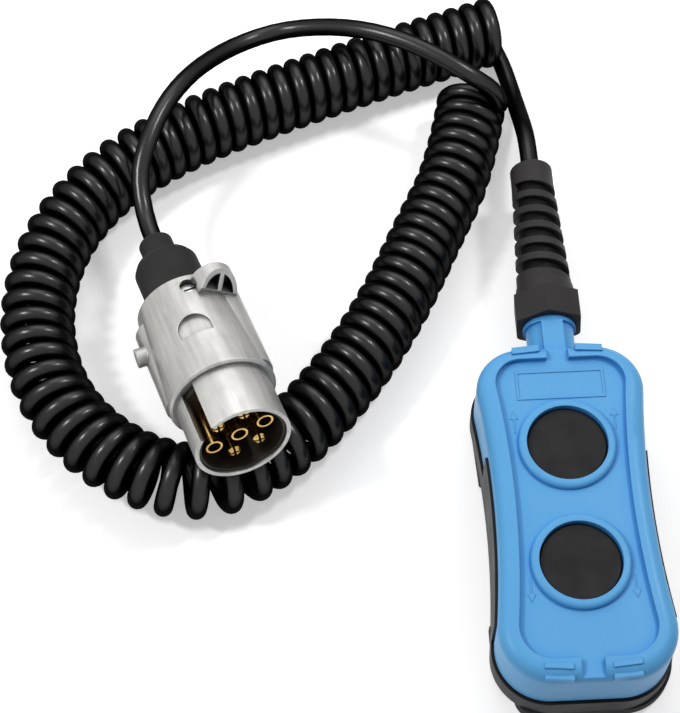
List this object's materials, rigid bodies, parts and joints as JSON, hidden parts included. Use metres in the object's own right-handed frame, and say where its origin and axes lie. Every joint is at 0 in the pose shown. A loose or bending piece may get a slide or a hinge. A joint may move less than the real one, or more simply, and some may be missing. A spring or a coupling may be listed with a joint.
{
  "type": "tail lift remote control",
  "caption": "Hourglass handset with spring push buttons and a spiral bend guard, on a coiled cord that ends in a round cast multi-pole plug.",
  "frame": {"origin": "on the surface that it lies on, under the middle between the two buttons, in the plane of the rubber back", "axes": "+Z out of the buttons, +Y along the handset towards its cord, +X to the right when the buttons face the viewer"},
  "size_m": [0.2419, 0.3062, 0.0657],
  "materials": {
    "blue_shell": "satin",
    "black_case": "matte",
    "back_rubber": "matte",
    "seal_rubber": "matte",
    "button_black": "matte",
    "plated_steel": "zinc plated",
    "plate_resin": "matte",
    "switch_grey": "matte",
    "plunger_white": "satin",
    "spring_steel": "bright",
    "terminal_brass": "plain",
    "gland_black": "matte",
    "claw_white": "satin",
    "cord_sheath": "glossy",
    "cast_alloy": "satin cast",
    "insert_dark": "matte",
    "contact_brass": "bright",
    "boot_rubber": "matte"
  },
  "bodies": {
    "housing": {"front_shell": "blue_shell", "case_seal": "seal_rubber", "rear_cover": "black_case", "back_pad": "back_rubber", "case_screws": "plated_steel", "switch_plate": "plate_resin", "plate_screws": "plated_steel", "up_switch": "switch_grey", "up_spring": "spring_steel", "down_switch": "switch_grey", "down_spring": "spring_steel", "terminal_screws": "terminal_brass", "gland_seal": "seal_rubber", "gland_claws": "claw_white", "gland_nut": "gland_black", "inner_lead": "cord_sheath", "cord_lead": "cord_sheath", "cord_coil": "cord_sheath", "cord_tail": "cord_sheath", "plug_shell": "cast_alloy", "shell_screw": "plated_steel", "contact_insert": "insert_dark", "tube_contacts": "contact_brass", "split_pins": "contact_brass", "cable_clamp": "plate_resin", "clamp_screws": "plated_steel", "plug_boot": "boot_rubber", "inner_tail": "cord_sheath"},
    "up_button": {"up_button_cap": "button_black", "up_plunger": "plunger_white"},
    "down_button": {"down_button_cap": "button_black", "down_plunger": "plunger_white"}
  },
  "joints": [
    {"name": "up_button_press", "type": "slide", "parent": "housing", "child": "up_button", "axis": [0, 0, -1], "range_m": [0, 0.003], "stiffness_N_per_m": 600, "springref_m": -0.002, "deforming": ["up_spring"]},
    {"name": "down_button_press", "type": "slide", "parent": "housing", "child": "down_button", "axis": [0, 0, -1], "range_m": [0, 0.003], "stiffness_N_per_m": 600, "springref_m": -0.002, "deforming": ["down_spring"]}
  ]
}
